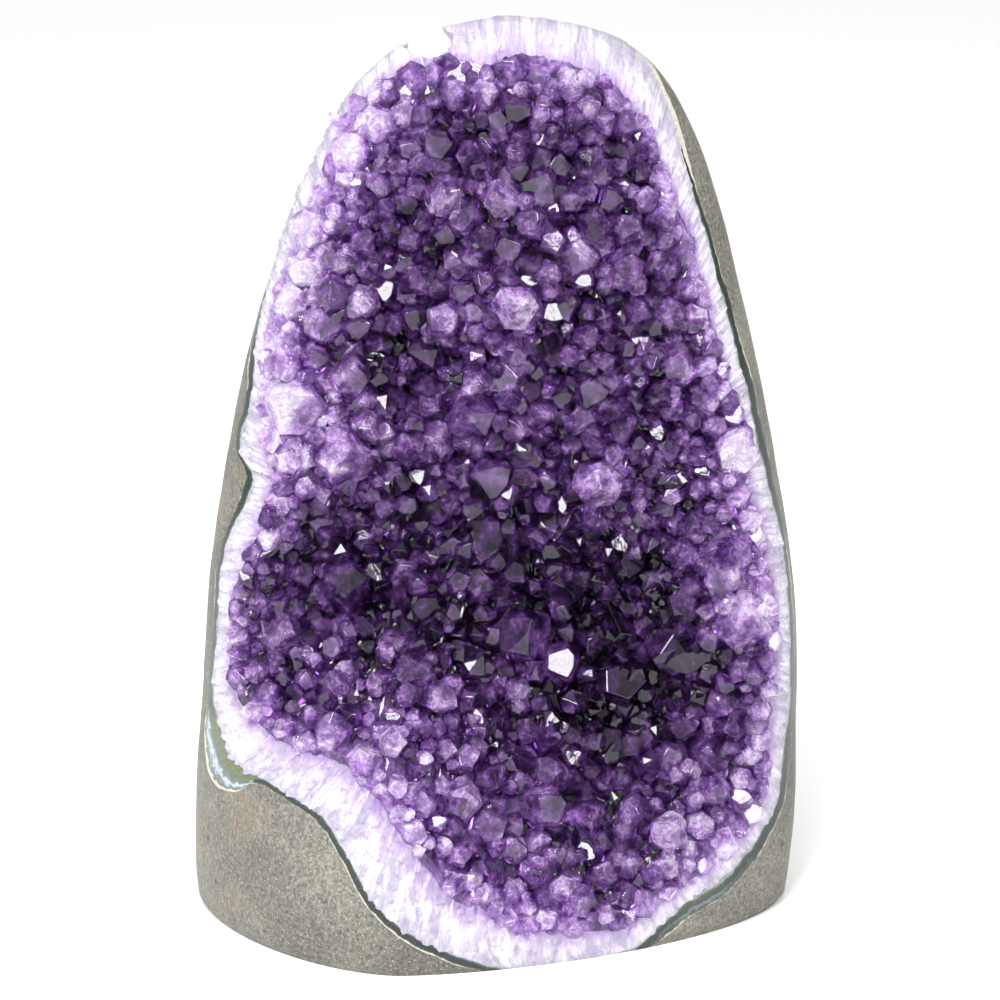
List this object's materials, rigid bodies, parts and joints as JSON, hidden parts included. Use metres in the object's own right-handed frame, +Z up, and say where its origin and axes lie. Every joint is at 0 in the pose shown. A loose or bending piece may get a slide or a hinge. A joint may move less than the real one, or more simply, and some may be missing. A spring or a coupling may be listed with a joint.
{
  "type": "amethyst cluster",
  "caption": "Free-standing half geode, cut flat underneath and ground round outside, its open face lined with purple amethyst points in white quartz and grey basalt.",
  "frame": {"origin": "centre of the bounding box's footprint, on the flat cut base", "axes": "+Z up, the cluster's height; the open crystal face looks along -Y; +X to the right as seen from the front"},
  "size_m": [0.12, 0.0762, 0.175],
  "materials": {
    "basalt": "grey speckled basalt, ground to a satin, with fine veins, pits and brown iron stains",
    "chalcedony": "dark green to blue-grey chalcedony rind, ground and waxy, with a thin pale seam against the basalt",
    "white_quartz": "milky white to pale lilac quartz, translucent, coarse grained and radial",
    "amethyst": "clear to milky purple quartz crystals with bright glassy faces, pale lilac at the edge and near black in the hollow"
  },
  "bodies": {
    "root": {"basalt_matrix": "basalt", "chalcedony_rind": "chalcedony", "quartz_layer": "white_quartz", "amethyst_druse": "amethyst"}
  },
  "joints": []
}
